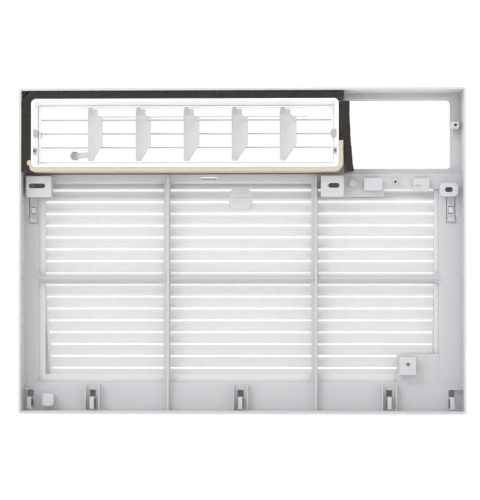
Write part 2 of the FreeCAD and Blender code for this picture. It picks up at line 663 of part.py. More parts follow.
# ---- foam -----------------------------------------------------------------------------
FOAM_Y0 = 1.0
FOAM_Y1 = 32.0
FOAM_WRAP_END = 6.5     # the wrap runs past the duct's right side by this much
LOOSE_GAP = 1.5         # between the duct and the loose strip at its top
LOOSE_TOP_T = 11.3
LOOSE_FOOT_T = 9.6
LOOSE_LEAN = 7.0        # how far the foot of the loose strip stands out
LOOSE_WIDE_Y = 16.0     # deeper than this the loose strip fills the gap to the duct
FOAM_BASE_CURL = 9.0    # the cream strip's left end turns up by this much
FOAM_BASE_RISE = 30.0   # and its right end by this much


def foam_wrap():
    """Seal down the left side and along the top, bent round the corner."""
    r = 16.0
    outer_x = LEFT + RIM_T
    outer_z = HEIGHT - RIM_T
    outer = rounded_prism(outer_x, RIGHT, STEP_TOP + 1, outer_z, r, FOAM_Y0, FOAM_Y1)
    inner = rounded_prism(DUCT_X0, RIGHT + 50, STEP_TOP - 40, DUCT_Z1, DUCT_R, FOAM_Y0 - 1, FOAM_Y1 + 1)
    ell = outer.cut(inner)
    keep = fuse([box(outer_x, DUCT_X0 + 12, FOAM_Y0, FOAM_Y1, STEP_TOP + r + 1, outer_z),
                 box(outer_x, DUCT_X0, FOAM_Y0, FOAM_Y1, STEP_TOP + 1, STEP_TOP + r + 2),
                 box(DUCT_X0, DUCT_X1 + FOAM_WRAP_END, FOAM_Y0, FOAM_Y1, DUCT_Z1 - 1, outer_z)])
    leg = box(outer_x, DUCT_X0, FOAM_Y0, FOAM_Y1, STEP_TOP + 1, STEP_TOP + r + 2)
    return cut(fuse([ell.common(keep), leg]), rim_teeth() + [foam_base()])


def foam_side():
    """Loose seal strip beside the control window, leaning outwards at its foot."""
    top_z = DUCT_Z1 - 2.3
    foot_z = STEP_TOP + 1
    x = DUCT_X1 + LOOSE_GAP
    foot_x = x + LOOSE_LEAN
    near = DUCT_X1 + GAP
    strip = plate_xz([(x, top_z), (x + LOOSE_TOP_T, top_z), (foot_x + LOOSE_FOOT_T, foot_z),
                      (foot_x, foot_z)], FOAM_Y0 + 3, FOAM_Y1)
    flange = plate_xz([(near, top_z), (x + 2, top_z), (foot_x + 2, foot_z), (near, foot_z)],
                      LOOSE_WIDE_Y, FOAM_Y1)
    around_duct = rounded_prism(DUCT_X0, near, DUCT_Z0 - GAP, DUCT_Z1, DUCT_R, FOAM_Y0, FOAM_Y1)
    pieces = fuse([strip, flange]).cut(fuse([foam_base(), around_duct])).Solids
    return max(pieces, key=lambda piece: piece.Volume)


def foam_base():
    """Strip under the duct that turns up round its right corner."""
    t = FOAM_BASE_T
    grown = rounded_prism(DUCT_X0 - t, DUCT_X1 + t, DUCT_Z0 - t, DUCT_Z1 + t, DUCT_R + t,
                          FOAM_Y0, FOAM_Y1)
    duct = rounded_prism(DUCT_X0, DUCT_X1, DUCT_Z0, DUCT_Z1, DUCT_R, FOAM_Y0 - 1, FOAM_Y1 + 1)
    ring = grown.cut(duct)
    keep = fuse([box(DUCT_X0 - t, DUCT_X1, FOAM_Y0, FOAM_Y1, DUCT_Z0 - t, DUCT_Z0 + FOAM_BASE_CURL),
                 box(DUCT_X1 - 3, DUCT_X1 + t, FOAM_Y0, FOAM_Y1, DUCT_Z0 - t, DUCT_Z0 + FOAM_BASE_RISE)])
    return ring.common(keep)


# ---- cassette, vanes and link ---------------------------------------------------------
def louver_cassette():
    """Frame and level blades in one moulding; its top and bottom are round about the tilt axis."""
    drum = rod_x(CAS_X0, CAS_X1, TILT_Y, TILT_Z, SWING_R)
    outer = drum.common(box(LEFT, RIGHT, CASSETTE_Y0, CAS_Y1, 0, HEIGHT))
    t = CASSETTE_T
    inner = rounded_prism(CAS_X0 + t, CAS_X1 - t, CAS_Z0 + t, CAS_Z1 - t, CASSETTE_R - t,
                          CASSETTE_Y0 - 1, CAS_Y1 + 1)
    parts = [outer.cut(inner)]
    for i in range(BLADES):
        z = TILT_Z + BLADE_SHIFT + BLADE_PITCH * (i - (BLADES - 1) / 2)
        parts.append(box(CAS_X0 + t / 2, CAS_X1 - t / 2, BLADE_Y0, CAS_Y1,
                         z - BLADE_T / 2, z + BLADE_T / 2))
    frame = fuse(parts)
    tools = [rod_z(x, VANE_Y, VANE_PIN_R + RUN, CAS_Z0 - 9, CAS_Z1 + 9) for x in VANE_X]
    tools.append(rod_x(CAS_X0 - 1, CAS_X0 + PIN_REACH + GAP, TILT_Y, TILT_Z, PIVOT_R + RUN))
    tools.append(rod_x(CAS_X1 - PIN_REACH - GAP, CAS_X1 + 1, TILT_Y, TILT_Z, PIVOT_R + RUN))
    return cut(frame, tools)


def vane(index):
    """Bent-cornered plate on two pins; the first one carries the finger grip."""
    top = CAS_Z1 - CASSETTE_T - VANE_TOP_GAP
    foot = CAS_Z0 + CASSETTE_T + 0.8
    link_z = CAS_Z1 - LINK_BELOW_TOP
    outline = [(-VANE_AHEAD, foot + 3.0), (-1.5, foot), (5.0, foot), (VANE_BEHIND, foot + VANE_CHAMFER),
               (VANE_BEHIND, link_z - 1.5), (LINK_RADIUS - 3.0, link_z - 1.5),
               (LINK_RADIUS - 6.0, link_z + 2.5), (14.0, link_z + 2.5), (14.0, top - 1.5),
               (12.5, top), (-VANE_AHEAD, top)]
    plate = plate_yz([(-s, z) for s, z in outline], -VANE_T / 2, VANE_T / 2)
    lug = rod_z(0, -LINK_RADIUS, LINK_PIN_R + LINK_PLAY + 1.0, link_z - 3.5, link_z - 1.5)
    play = RUN if index == 0 else LINK_PLAY
    bore = rod_z(0, -LINK_RADIUS, LINK_PIN_R + play, link_z - 4.5, link_z)
    relief = box(-VANE_T, VANE_T, -VANE_BEHIND - 1, -LINK_RADIUS + 2.2, link_z - 3.5, link_z)
    pins = [rod_z(0, 0, VANE_PIN_R, CAS_Z0 + 0.2, CAS_Z1 - 0.2),
            rod_z(0, 0, VANE_COLLAR_R, top - 2, CAS_Z1 - CASSETTE_T - GAP),
            rod_z(0, 0, VANE_COLLAR_R, CAS_Z0 + CASSETTE_T + GAP, foot + 3)]
    body = fuse([plate.cut(relief), lug] + pins).cut(bore)
    body.rotate(V(0, 0, 0), V(0, 0, 1), math.degrees(VANE_REST))
    if index == 0:
        body = fuse([body] + vane_grip())
    body.translate(V(VANE_X[index], VANE_Y, 0))
    return body


def vane_grip():
    """Arm that reaches out through the lowest gap, and a ribbed finger disc."""
    z = CAS_Z0 + ARM_Z
    arm = box(-1.0, 1.0, 0, ARM_LENGTH, z - ARM_H / 2, z + ARM_H / 2)
    arm.rotate(V(0, 0, 0), V(0, 0, 1), math.degrees(ARM_ANGLE))
    x = -ARM_LENGTH * math.sin(ARM_ANGLE)
    y = ARM_LENGTH * math.cos(ARM_ANGLE)
    disc = rod_y(x, z, GRIP_R, y - GRIP_T / 2, y + GRIP_T / 2)
    ridges = [box(x - GRIP_R, x + GRIP_R, y - FIN_REACH, y, z + k * FIN_PITCH - FIN_T / 2,
                  z + k * FIN_PITCH + FIN_T / 2)
              for k in (-2, -1, 0, 1, 2)]
    reach = rod_y(x, z, GRIP_R, y - FIN_REACH - 1, y + GRIP_T)
    return [arm, disc] + [ridge.common(reach) for ridge in ridges]


def link_rod():
    """Thin bar over the vanes' rear corners, with a pin down into each of them."""
    z = CAS_Z1 - LINK_BELOW_TOP
    dx = LINK_RADIUS * math.sin(VANE_REST)
    y = VANE_Y - LINK_RADIUS * math.cos(VANE_REST)
    bar = box(VANE_X[0] + dx - 1.6, VANE_X[-1] + dx + LINK_TAIL, y - 1.0, y + 1.0, z - LINK_T / 2 + 0.2,
              z + LINK_T / 2 + 0.2)
    pins = [rod_z(x + dx, y, LINK_PIN_R, z - 4.0, z + 0.2) for x in VANE_X]
    return fuse([bar] + pins)


# ---- inlet grille ---------------------------------------------------------------------------
def slat_bottom(i):
    """Lower rear edge of slat i; slat 0 is the lowest."""
    gaps_below_top = SLATS - 1 - i
    return SLAT_TOP - SLAT_PITCH * gaps_below_top + SLAT_GAP / 2


def slats():
    rise = SLAT_PITCH - SLAT_GAP
    pieces = []
    for i in range(SLATS):
        z = slat_bottom(i)
        profile = [(SLAT_Y0, z), (SLAT_Y0, z + SLAT_EDGE), (DEPTH, z + rise),
                   (DEPTH, z + rise - SLAT_EDGE)]
        pieces.append(plate_yz(profile, FIELD_X0 - 3, FIELD_X1 + 3))
    return pieces


def field_outline(grow):
    """Outline of the slat field; its left side leans in towards the foot."""
    knee_z = BAR_Z
    foot_z = slat_bottom(0) + 2
    top_z = slat_bottom(SLATS - 1)
    return [(FIELD_X0 - grow, top_z + grow), (FIELD_X0 - grow, knee_z),
            (FIELD_X0 + FIELD_FOOT - grow, foot_z - grow),
            (FIELD_X1 - 3 + grow, foot_z - grow), (FIELD_X1 + grow, knee_z),
            (FIELD_X1 + grow, top_z + grow)]


def door_latch_hook(x):
    """Stub that reaches back into the latch's eye."""
    z = LATCH_Z1 - LATCH_H / 2
    half = LATCH_EYE_W / 2 - GAP
    tall = LATCH_EYE_H / 2 - HOOK_PLAY
    return [box(x - half, x + half, PLATE_Y + 0.4, DEPTH - 1, z - tall, z + tall)]


def lug_slots():
    """Gaps in the foot of the door that let it swing round the hinge lugs."""
    slots = []
    for x0, x1 in lug_spans():
        slots.append(box(x0 - LUG_ROOM, x1 + LUG_ROOM, DOOR_Y0, DEPTH - DOOR_WALL,
                         DOOR_Z0 - 1, DOOR_Z0 + DOOR_WALL + 1))
    return slots


def inlet_grille():
    """Hinged door: shallow tray with a field of sloping slats."""
    y0 = DOOR_Y0
    face = DEPTH - DOOR_WALL
    tray = rounded_prism(DOOR_X0, DOOR_X1, DOOR_Z0, DOOR_Z1, CORNER_R, y0, DEPTH)
    edges = [e for e in tray.Edges if all(v.Point.y > DEPTH - 0.1 for v in e.Vertexes)]
    tray = tray.makeFillet(DOOR_WALL * 0.8, edges)
    hollow = box(DOOR_X0 + DOOR_WALL, DOOR_X1 - DOOR_WALL, y0 - 1, face,
                 DOOR_Z0 + DOOR_WALL, DOOR_Z1 - DOOR_WALL)
    foot = box(LEFT, RIGHT, y0 - 1, DOOR_HINGE_Y - 5, DOOR_Z0 - 1, DOOR_NOTCH_Z)
    field = plate_xz(field_outline(0), y0, DEPTH + 1)
    way_out = box(FILTER_X0 - 1, FILTER_X1 + 1, y0 - 1, FILTER_Y0 + FILTER_T + 0.7,
                  DOOR_Z1 - 10, DOOR_Z1 + 1)
    tray = cut(tray, [hollow, foot, field, way_out] + lug_slots())
    wall = plate_xz(field_outline(2.0), SLAT_Y0, DEPTH).cut(plate_xz(field_outline(0), 0, DEPTH + 1))
    bounds = plate_xz(field_outline(1.0), 0, DEPTH + 1)
    parts = [tray, wall] + [piece.common(bounds) for piece in slats()[:-1]]
    for x in LATCH_X:
        parts += door_latch_hook(x)
    for x0, x1, lip0, lip1 in filter_rails():
        for z0, z1 in ((FILTER_Z0, LATCH_Z1 - LATCH_H - 3), (LATCH_Z1 + 2, FILTER_Z1 - 4)):
            parts.append(box(x0, x1, y0, face + 0.5, z0, z1))
            parts.append(box(lip0, lip1, y0, y0 + 1.1, z0, z1))
    parts.append(box(FILTER_X0 + 30, FILTER_X1 - 30, y0, face + 0.5,
                     FILTER_Z0 - GAP - 2.0, FILTER_Z0 - GAP))
    pin_in = DOOR_X1 - DOOR_WALL - LUG_INSET - LUG_T
    pin_out = DOOR_X1 - DOOR_WALL + 0.5
    for x0, x1 in ((-pin_out, -pin_in), (pin_in, pin_out)):
        parts.append(rod_x(x0, x1, DOOR_HINGE_Y, DOOR_HINGE_Z, DOOR_PIN_R))
    boss, recess = badge_seat()
    return fuse(parts + [boss]).cut(recess)


def filter_rails():
    """(wall x0, x1, lip x0, x1) of the two channels the filter slides in."""
    t = 2.0
    left = FILTER_X0 - GAP - t
    right = FILTER_X1 + GAP
    return ((left, left + t, left, left + t + 1.9), (right, right + t, right - 1.9, right + t))


def badge_seat():
    """Round boss between the slats, and the shallow recess in its face."""
    boss = rod_y(BADGE_X, BADGE_Z, BADGE_R, SLAT_Y0 + 1.0, DEPTH)
    recess = rod_y(BADGE_X, BADGE_Z, BADGE_R - BADGE_LIP, DEPTH - BADGE_T, DEPTH + 1)
    return boss, recess


def badge_disc():
    """Plain disc set in the recess of its seat."""
    return rod_y(BADGE_X, BADGE_Z, BADGE_R - BADGE_LIP, DEPTH - BADGE_T, DEPTH)


# ---- filter --------------------------------------------------------------------------------
def filter_cells():
    """Openings of the filter frame, lined up with the panel's windows."""
    x_edges = [FILTER_X0 + FILTER_RIM] + BAR_X + [FILTER_X1 - FILTER_RIM]
    z_edges = [FILTER_Z0 + FILTER_RIM, BAR_Z, FILTER_Z1 - FILTER_TOP_BAR]
    half = FILTER_BAR / 2
    cells = []
    for i in range(3):
        x0 = x_edges[i] + (half if i > 0 else 0)
        x1 = x_edges[i + 1] - (half if i < 2 else 0)
        for j in range(2):
            z0 = z_edges[j] + (half if j > 0 else 0)
            z1 = z_edges[j + 1] - (half if j < 1 else 0)
            cells.append((x0, x1, z0, z1))
    return cells


def filter_frame():
    """Moulded frame with six openings and a groove for the net."""
    body = rounded_prism(FILTER_X0, FILTER_X1, FILTER_Z0, FILTER_Z1, FILTER_R,
                         FILTER_Y0, FILTER_Y0 + FILTER_T)
    holes = [rounded_prism(*cell, CELL_R, FILTER_Y0 - 1, FILTER_Y0 + FILTER_T + 1)
             for cell in filter_cells()]
    return cut(body, holes + [filter_mesh()])


def filter_mesh():
    """Net moulded into the frame: a thin sheet held in the frame's groove."""
    groove_y = FILTER_Y0 + FILTER_T / 2
    rim = FILTER_RIM - MESH_HELD
    return box(FILTER_X0 + rim, FILTER_X1 - rim, groove_y - MESH_T / 2, groove_y + MESH_T / 2,
               FILTER_Z0 + rim, FILTER_Z1 - FILTER_TOP_BAR + MESH_HELD)


# ---- latches ----------------------------------------------------------------------------------
def latch(x):
    """Sprung tongue with an eye, two hinge pins and a thumb ledge at its foot."""
    y_mid = PLATE_Y + SKIN_T / 2
    y0 = y_mid - LATCH_T / 2
    y1 = y_mid + LATCH_T / 2
    z0 = LATCH_Z1 - LATCH_H + GAP
    tongue = box(x - LATCH_W / 2, x + LATCH_W / 2, y0, y1, z0, LATCH_Z1 - GAP)
    eye = box(x - LATCH_EYE_W / 2, x + LATCH_EYE_W / 2, y0 - 1, y1 + 1,
              LATCH_Z1 - LATCH_H / 2 - LATCH_EYE_H / 2, LATCH_Z1 - LATCH_H / 2 + LATCH_EYE_H / 2)
    pin = rod_x(x - LATCH_HOLE_W / 2 - 1.2, x + LATCH_HOLE_W / 2 + 1.2, y_mid,
                LATCH_Z1 - LATCH_H + 2, LATCH_PIN_R)
    step = box(x - LATCH_W / 2, x + LATCH_W / 2, y0 - 4, y0 + 0.5, z0 + 1.5, z0 + 5.5)
    return fuse([tongue.cut(eye), pin, step])


# ---- write every piece -------------------------------------------------------------------------
os.makedirs("parts", exist_ok=True)
for part_name, part_shape in panel_parts():
    save(part_name, part_shape)
save("discharge_duct", discharge_duct())
for side, label in ((0, "left"), (1, "right")):
    save("pivot_bush_" + label, pivot_bush(side))
    save("tilt_detent_" + label, tilt_detent(side))
    save("latch_" + label, latch(LATCH_X[side]))
save("foam_seal_wrap", foam_wrap())
save("foam_seal_side", foam_side())
save("foam_strip_base", foam_base())
save("louver_cassette", louver_cassette())
for number in range(VANES):
    save("vane_" + str(number + 1), vane(number))
save("link_rod", link_rod())
save("inlet_grille", inlet_grille())
save("badge_disc", badge_disc())
save("filter_frame", filter_frame())
save("filter_mesh", filter_mesh())
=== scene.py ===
"""Looks of a window air conditioner's front panel: finishes, foam seals, filter net, light and camera.

Metres, in the part's own frame: X across the panel, Z up, the cabinet on the -Y side and the room
on the +Y side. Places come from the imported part's boxes.
"""
import math
import bmesh
import bpy
import numpy as np
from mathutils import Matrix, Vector


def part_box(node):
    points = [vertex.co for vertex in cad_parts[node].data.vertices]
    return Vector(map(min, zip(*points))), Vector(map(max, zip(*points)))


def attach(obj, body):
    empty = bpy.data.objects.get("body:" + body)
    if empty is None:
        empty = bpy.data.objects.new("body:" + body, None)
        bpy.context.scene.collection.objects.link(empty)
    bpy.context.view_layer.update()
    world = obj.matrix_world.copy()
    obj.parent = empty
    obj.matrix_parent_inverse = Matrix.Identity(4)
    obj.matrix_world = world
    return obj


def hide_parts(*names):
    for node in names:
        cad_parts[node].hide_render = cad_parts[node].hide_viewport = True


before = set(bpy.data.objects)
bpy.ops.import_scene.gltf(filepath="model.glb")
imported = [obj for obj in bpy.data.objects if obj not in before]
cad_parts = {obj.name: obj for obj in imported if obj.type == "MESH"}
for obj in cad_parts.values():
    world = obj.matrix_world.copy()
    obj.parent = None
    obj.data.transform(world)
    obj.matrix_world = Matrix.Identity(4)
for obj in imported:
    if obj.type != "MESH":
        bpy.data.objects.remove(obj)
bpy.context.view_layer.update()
MM = 0.001

# ---- places taken from the frame ---------------------------------------------------
PANEL_LO, PANEL_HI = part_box("panel_rim")
DUCT_LO, DUCT_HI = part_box("discharge_duct")
CASSETTE_LO, CASSETTE_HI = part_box("louver_cassette")
WRAP_LO, WRAP_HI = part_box("foam_seal_wrap")
SIDE_LO, SIDE_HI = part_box("foam_seal_side")
BASE_LO, BASE_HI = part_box("foam_strip_base")
NET_LO, NET_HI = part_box("filter_mesh")
DUCT_CORNER = 5.0 * MM          # radius of the duct's corners
LOOSE_GAP = 1.5 * MM            # between the duct and the loose strip at its top
LOOSE_TOP_T = 11.3 * MM         # thickness of the loose strip at its top
LOOSE_FOOT_T = 9.6 * MM
CASSETTE_WALL = 1.6 * MM
SEAL_BEND_R = 12.0 * MM         # middle of the dark seal round the duct's top left corner
END_INSET = 0.5 * MM            # how far the foam's rounded ends stay inside the part's box
VANES = 5


# ---- small helpers -------------------------------------------------------------------
def linear(code):
    """sRGB hex to linear RGBA: the standard curve, 2.4 power above 0.04045."""
    parts = [int(code[i:i + 2], 16) / 255 for i in (1, 3, 5)]
    return [c / 12.92 if c <= 0.04045 else ((c + 0.055) / 1.055) ** 2.4 for c in parts] + [1.0]


def add(tree, kind, values=None, links=None, **settings):
    """Adds a node; values sets its sockets, links joins its sockets to other nodes' outputs."""
    node = tree.nodes.new(kind)
    for key, value in settings.items():
        setattr(node, key, value)
    for key, value in (values or {}).items():
        node.inputs[key].default_value = value
    for key, source in (links or {}).items():
        tree.links.new(source, node.inputs[key])
    return node


def new_material(name):
    material = bpy.data.materials.new(name)
    material.use_nodes = True
    tree = material.node_tree
    tree.nodes.clear()
    return material, tree


def noise(tree, where, size, detail=2.0, roughness=0.5):
    """Noise node whose features are about `size` metres across."""
    return add(tree, "ShaderNodeTexNoise", {"Scale": 1 / size, "Detail": detail, "Roughness": roughness},
               {"Vector": where}, noise_dimensions="3D")


def spread(tree, source, low, high):
    """Maps a 0 to 1 value to low..high."""
    return add(tree, "ShaderNodeMapRange", {"To Min": low, "To Max": high}, {"Value": source})


def blend(tree, factor, first, second):
    """Mixes two hex colours by a 0 to 1 factor; its colour comes out of outputs[2]."""
    mix = add(tree, "ShaderNodeMix", links={"Factor": factor}, data_type="RGBA")
    mix.inputs[6].default_value = linear(first)
    mix.inputs[7].default_value = linear(second)
    return mix


# ---- materials ---------------------------------------------------------------------------
def moulded_abs(name, light, dark, grain, rough, relief, milky=0.0):
    """Injection-moulded ABS, spark-eroded tool: a satin skin with fine even grain, faint flow
    shading over some centimetres, and slightly polished and dulled patches. Light passes a few
    millimetres into the white plastic where `milky` is above 0."""
    material, tree = new_material(name)
    where = add(tree, "ShaderNodeTexCoord").outputs["Object"]
    flow = noise(tree, where, 70 * MM, 3.0)
    colour = blend(tree, flow.outputs["Fac"], light, dark)
    handled = noise(tree, where, 18 * MM, 4.0)
    sheen = spread(tree, handled.outputs["Fac"], rough - 0.06, rough + 0.06)
    skin = noise(tree, where, grain, 2.0)
    bump = add(tree, "ShaderNodeBump", {"Strength": relief, "Distance": 0.15 * MM},
               {"Height": skin.outputs["Fac"]})
    shader = add(tree, "ShaderNodeBsdfPrincipled",
                 {"IOR": 1.53, "Subsurface Weight": milky, "Subsurface Scale": 4 * MM,
                  "Subsurface Radius": (1.0, 1.0, 0.95)},
                 {"Base Color": colour.outputs[2], "Roughness": sheen.outputs["Result"],
                  "Normal": bump.outputs["Normal"]})
    add(tree, "ShaderNodeOutputMaterial", links={"Surface": shader.outputs["BSDF"]})
    return material


def foam(name, light, dark, cell, relief):
    """Foam cut from a block: open cells a fraction of a millimetre to some millimetres wide, so the face
    is matt and pitted, with paler cell walls; the pits are darkened with painted shade, and the tone
    varies in clumps."""
    material, tree = new_material(name)
    where = add(tree, "ShaderNodeTexCoord").outputs["Object"]
    cells = add(tree, "ShaderNodeTexVoronoi", {"Scale": 1 / cell}, {"Vector": where}, feature="F1")
    clumps = noise(tree, where, 9 * MM, 4.0, 0.65)
    # painted shade: the colour darkens towards each cell's middle, in the pits
    pit_shade = spread(tree, cells.outputs["Distance"], 0.0, 1.3)
    shade = add(tree, "ShaderNodeMath", links={0: pit_shade.outputs["Result"], 1: clumps.outputs["Fac"]},
                operation="MULTIPLY")
    colour = blend(tree, shade.outputs["Value"], dark, light)
    bump = add(tree, "ShaderNodeBump", {"Strength": relief, "Distance": 0.5 * MM},
               {"Height": cells.outputs["Distance"]})
    shader = add(tree, "ShaderNodeBsdfPrincipled",
                 {"Roughness": 0.95, "Specular IOR Level": 0.15,
                  "Sheen Weight": 0.25, "Sheen Roughness": 0.6},
                 {"Base Color": colour.outputs[2], "Normal": bump.outputs["Normal"]})
    add(tree, "ShaderNodeOutputMaterial", links={"Surface": shader.outputs["BSDF"]})
    return material


def nylon_net():
    """White nylon monofilament: smooth thin threads with a soft shine."""
    material, tree = new_material("nylon_monofilament")
    where = add(tree, "ShaderNodeTexCoord").outputs["Object"]
    dust = noise(tree, where, 12 * MM, 3.0)
    colour = blend(tree, dust.outputs["Fac"], "#fafafa", "#ececea")
    shader = add(tree, "ShaderNodeBsdfPrincipled", {"Roughness": 0.35, "IOR": 1.53},
                 {"Base Color": colour.outputs[2]})
    add(tree, "ShaderNodeOutputMaterial", links={"Surface": shader.outputs["BSDF"]})
    return material


def studio_floor():
    """Matt white paper sweep."""
    material, tree = new_material("paper_sweep")
    shader = add(tree, "ShaderNodeBsdfPrincipled",
                 {"Base Color": linear("#ffffff"), "Roughness": 0.9, "Specular IOR Level": 0.0})
    add(tree, "ShaderNodeOutputMaterial", links={"Surface": shader.outputs["BSDF"]})
    return material


PANEL_ABS = moulded_abs("abs_panel_light_grey", "#cdced0", "#c8c9cb", 0.7 * MM, 0.46, 0.25, 0.3)
GRILLE_ABS = moulded_abs("abs_grille_white", "#eae8ea", "#e4e2e4", 0.7 * MM, 0.46, 0.25, 0.35)
# darker copy of the white plastic: painted shade on the cassette's blades and on the link rod
WHITE_ABS_PAINTED_SHADE = moulded_abs("abs_white_painted_shade", "#cbc6c5", "#c4bfbe", 0.6 * MM, 0.42, 0.2)
LOUVER_ABS = moulded_abs("abs_louver_white", "#cfd0d2", "#c9cacc", 0.6 * MM, 0.42, 0.2)
# pure white: the duct's own whiter plastic, pushed up as a painted highlight where its faces catch the
# light
WHITE_AND_HIGHLIGHT_ABS = moulded_abs("abs_white_and_painted_highlight", "#ffffff", "#fcfcfc", 0.6 * MM, 0.42, 0.2)
BUSH_ABS = moulded_abs("acetal_bush_grey", "#b4b4b7", "#a9a9ac", 0.5 * MM, 0.38, 0.15)
FILTER_PP = moulded_abs("polypropylene_filter_frame", "#dfe1e3", "#d8dadc", 0.8 * MM, 0.5, 0.2)
BADGE_ABS = moulded_abs("abs_badge_satin", "#d2d1d0", "#cbcac9", 0.5 * MM, 0.35, 0.15)
SEAL_FOAM = foam("polyurethane_seal_foam_dark", "#443d36", "#1d1915", 1.3 * MM, 0.7)
BASE_FOAM = foam("polyethylene_foam_cream", "#dcd3c2", "#c4b9a0", 0.9 * MM, 0.35)
NET_NYLON = nylon_net()

FINISHES = {
    "latch_left": PANEL_ABS, "latch_right": PANEL_ABS,
    # the louver cassette takes the pure white as a painted highlight over its louver white
    "discharge_duct": WHITE_AND_HIGHLIGHT_ABS, "louver_cassette": WHITE_AND_HIGHLIGHT_ABS, "link_rod": WHITE_ABS_PAINTED_SHADE,
    "inlet_grille": GRILLE_ABS, "badge_disc": BADGE_ABS, "filter_frame": FILTER_PP,
    "filter_mesh": NET_NYLON,
    "pivot_bush_left": BUSH_ABS, "pivot_bush_right": BUSH_ABS,
    "tilt_detent_left": BUSH_ABS, "tilt_detent_right": BUSH_ABS,
    "foam_seal_wrap": SEAL_FOAM, "foam_seal_side": SEAL_FOAM, "foam_strip_base": BASE_FOAM,
}
for number in range(1, VANES + 1):
    FINISHES[f"vane_{number}"] = LOUVER_ABS
for part in ("rim", "upper_left", "side_boss", "window_rails", "window_sides", "bars", "foot",
             "side_left", "side_right", "ribs", "screw_tabs", "hooks"):
    FINISHES["panel_" + part] = PANEL_ABS


def paint_nodes():
    """Gives every solid of the part its finish."""
    for name, material in FINISHES.items():
        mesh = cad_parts[name].data
        mesh.materials.clear()
        mesh.materials.append(material)


def paint_blades():
    """The level blades, which lie inside the cassette's walls, take a darker copy of the white plastic:
    painted shade.
    """
    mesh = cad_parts["louver_cassette"].data
    mesh.materials.append(WHITE_ABS_PAINTED_SHADE)
    wall = CASSETTE_WALL
    for face in mesh.polygons:
        middle = face.center
        inside_x = CASSETTE_LO.x + wall < middle.x < CASSETTE_HI.x - wall
        inside_z = CASSETTE_LO.z + 3 * wall < middle.z < CASSETTE_HI.z - 3 * wall
        # blade faces take the painted shade
        if inside_x and inside_z:
            face.material_index = 1


# ---- surfaces ------------------------------------------------------------------------------
def mesh_piece(name, points, quads, material, smooth=True):
    """Object at the origin from an (n, 3) array of points and an (m, 4) array of quads."""
    mesh = bpy.data.meshes.new(name)
    mesh.from_pydata(points.tolist(), [], quads.tolist())
    mesh.polygons.foreach_set("use_smooth", np.full(len(quads), smooth))
    mesh.materials.append(material)
    mesh.update()
    piece = bpy.data.objects.new(name, mesh)
    bpy.context.scene.collection.objects.link(piece)
    return piece


def polyline_arc(centre, radius, start, end, count):
    """Points (x, z) on an arc from angle start to angle end, in degrees."""
    a = np.radians(np.linspace(start, end, count))
    return np.stack([centre[0] + radius * np.cos(a), centre[1] + radius * np.sin(a)], axis=1)


def straight(a, b, count):
    """Evenly spaced points from a to b, both included."""
    t = np.linspace(0, 1, count)[:, None]
    return np.array(a) * (1 - t) + np.array(b) * t


def ripple(n, amount, seed, waves=(3, 7, 16)):
    """Sum of a few sine waves with seeded phases, at most `amount` high: an uneven hand-cut edge."""
    draw = np.random.default_rng(seed)
    t = np.linspace(0, 2 * math.pi, n)
    total = sum(np.sin(w * t + draw.uniform(0, 2 * math.pi)) / (i + 1) for i, w in enumerate(waves))
    return amount * total / sum(1 / (i + 1) for i in range(len(waves)))


CAP_SHARES = (0.92, 0.6, 0.02)  # size of the last rows at each end of a strip


def strip(name, path, thickness, y0, y1, material, around=40, square=9.0, lean=0.0):
    """Strip swept along a path of (x, z) points. At each point the section is a superellipse:
    across the path cos|v|^(2/square) times half the thickness, along Y sin|v|^(2/square) times
    half the depth. One side reaches out by up to `lean` more with depth. The two ends are closed
    by shrinking the section over a few rows."""
    path = np.asarray(path, float)
    n = len(path)
    tangent = np.gradient(path, axis=0)
    tangent /= np.linalg.norm(tangent, axis=1)[:, None]
    normal = np.stack([-tangent[:, 1], tangent[:, 0]], axis=1)
    v = np.linspace(0, 2 * math.pi, around, endpoint=False)
    c = np.sign(np.cos(v)) * np.abs(np.cos(v)) ** (2 / square)
    s = np.sign(np.sin(v)) * np.abs(np.sin(v)) ** (2 / square)
    half_t = np.broadcast_to(np.asarray(thickness, float) / 2, (n,))
    y0 = np.broadcast_to(np.asarray(y0, float), (n,))
    y1 = np.broadcast_to(np.asarray(y1, float), (n,))
    lean = np.broadcast_to(np.asarray(lean, float), (n,))
    deeper = np.where(c < 0, np.sqrt(np.clip((s + 1) / 2, 0, 1)), 0)
    across = half_t[:, None] * c[None, :] - lean[:, None] * deeper[None, :]
    x = path[:, :1] + normal[:, :1] * across
    z = path[:, 1:] + normal[:, 1:] * across
    y = ((y0 + y1) / 2)[:, None] + ((y1 - y0) / 2)[:, None] * s[None, :]
    body = np.stack([x, y, z], axis=2)
    rings = [body]
    middle = body.mean(axis=1, keepdims=True)
    for end in (0, -1):
        ring = body[end] - middle[end]
        caps = np.stack([middle[end] + ring * k for k in CAP_SHARES])
        rings = [caps[::-1]] + rings if end == 0 else rings + [caps]
    grid = np.concatenate(rings)
    rows = len(grid)
    i = np.arange(rows - 1)[:, None] * around
    j = np.arange(around)[None, :]
    k = (j + 1) % around
    quads = np.stack([i + j, i + k, i + around + k, i + around + j], axis=2).reshape(-1, 4)
    piece = mesh_piece(name, grid.reshape(-1, 3), quads, material)
    close_ends(piece)
    return piece


def close_ends(piece):
    """Merges the collapsed end points and turns all faces outwards."""
    work = bmesh.new()
    work.from_mesh(piece.data)
    bmesh.ops.remove_doubles(work, verts=work.verts, dist=0.02 * MM)
    bmesh.ops.recalc_face_normals(work, faces=work.faces)
    work.to_mesh(piece.data)
    work.free()


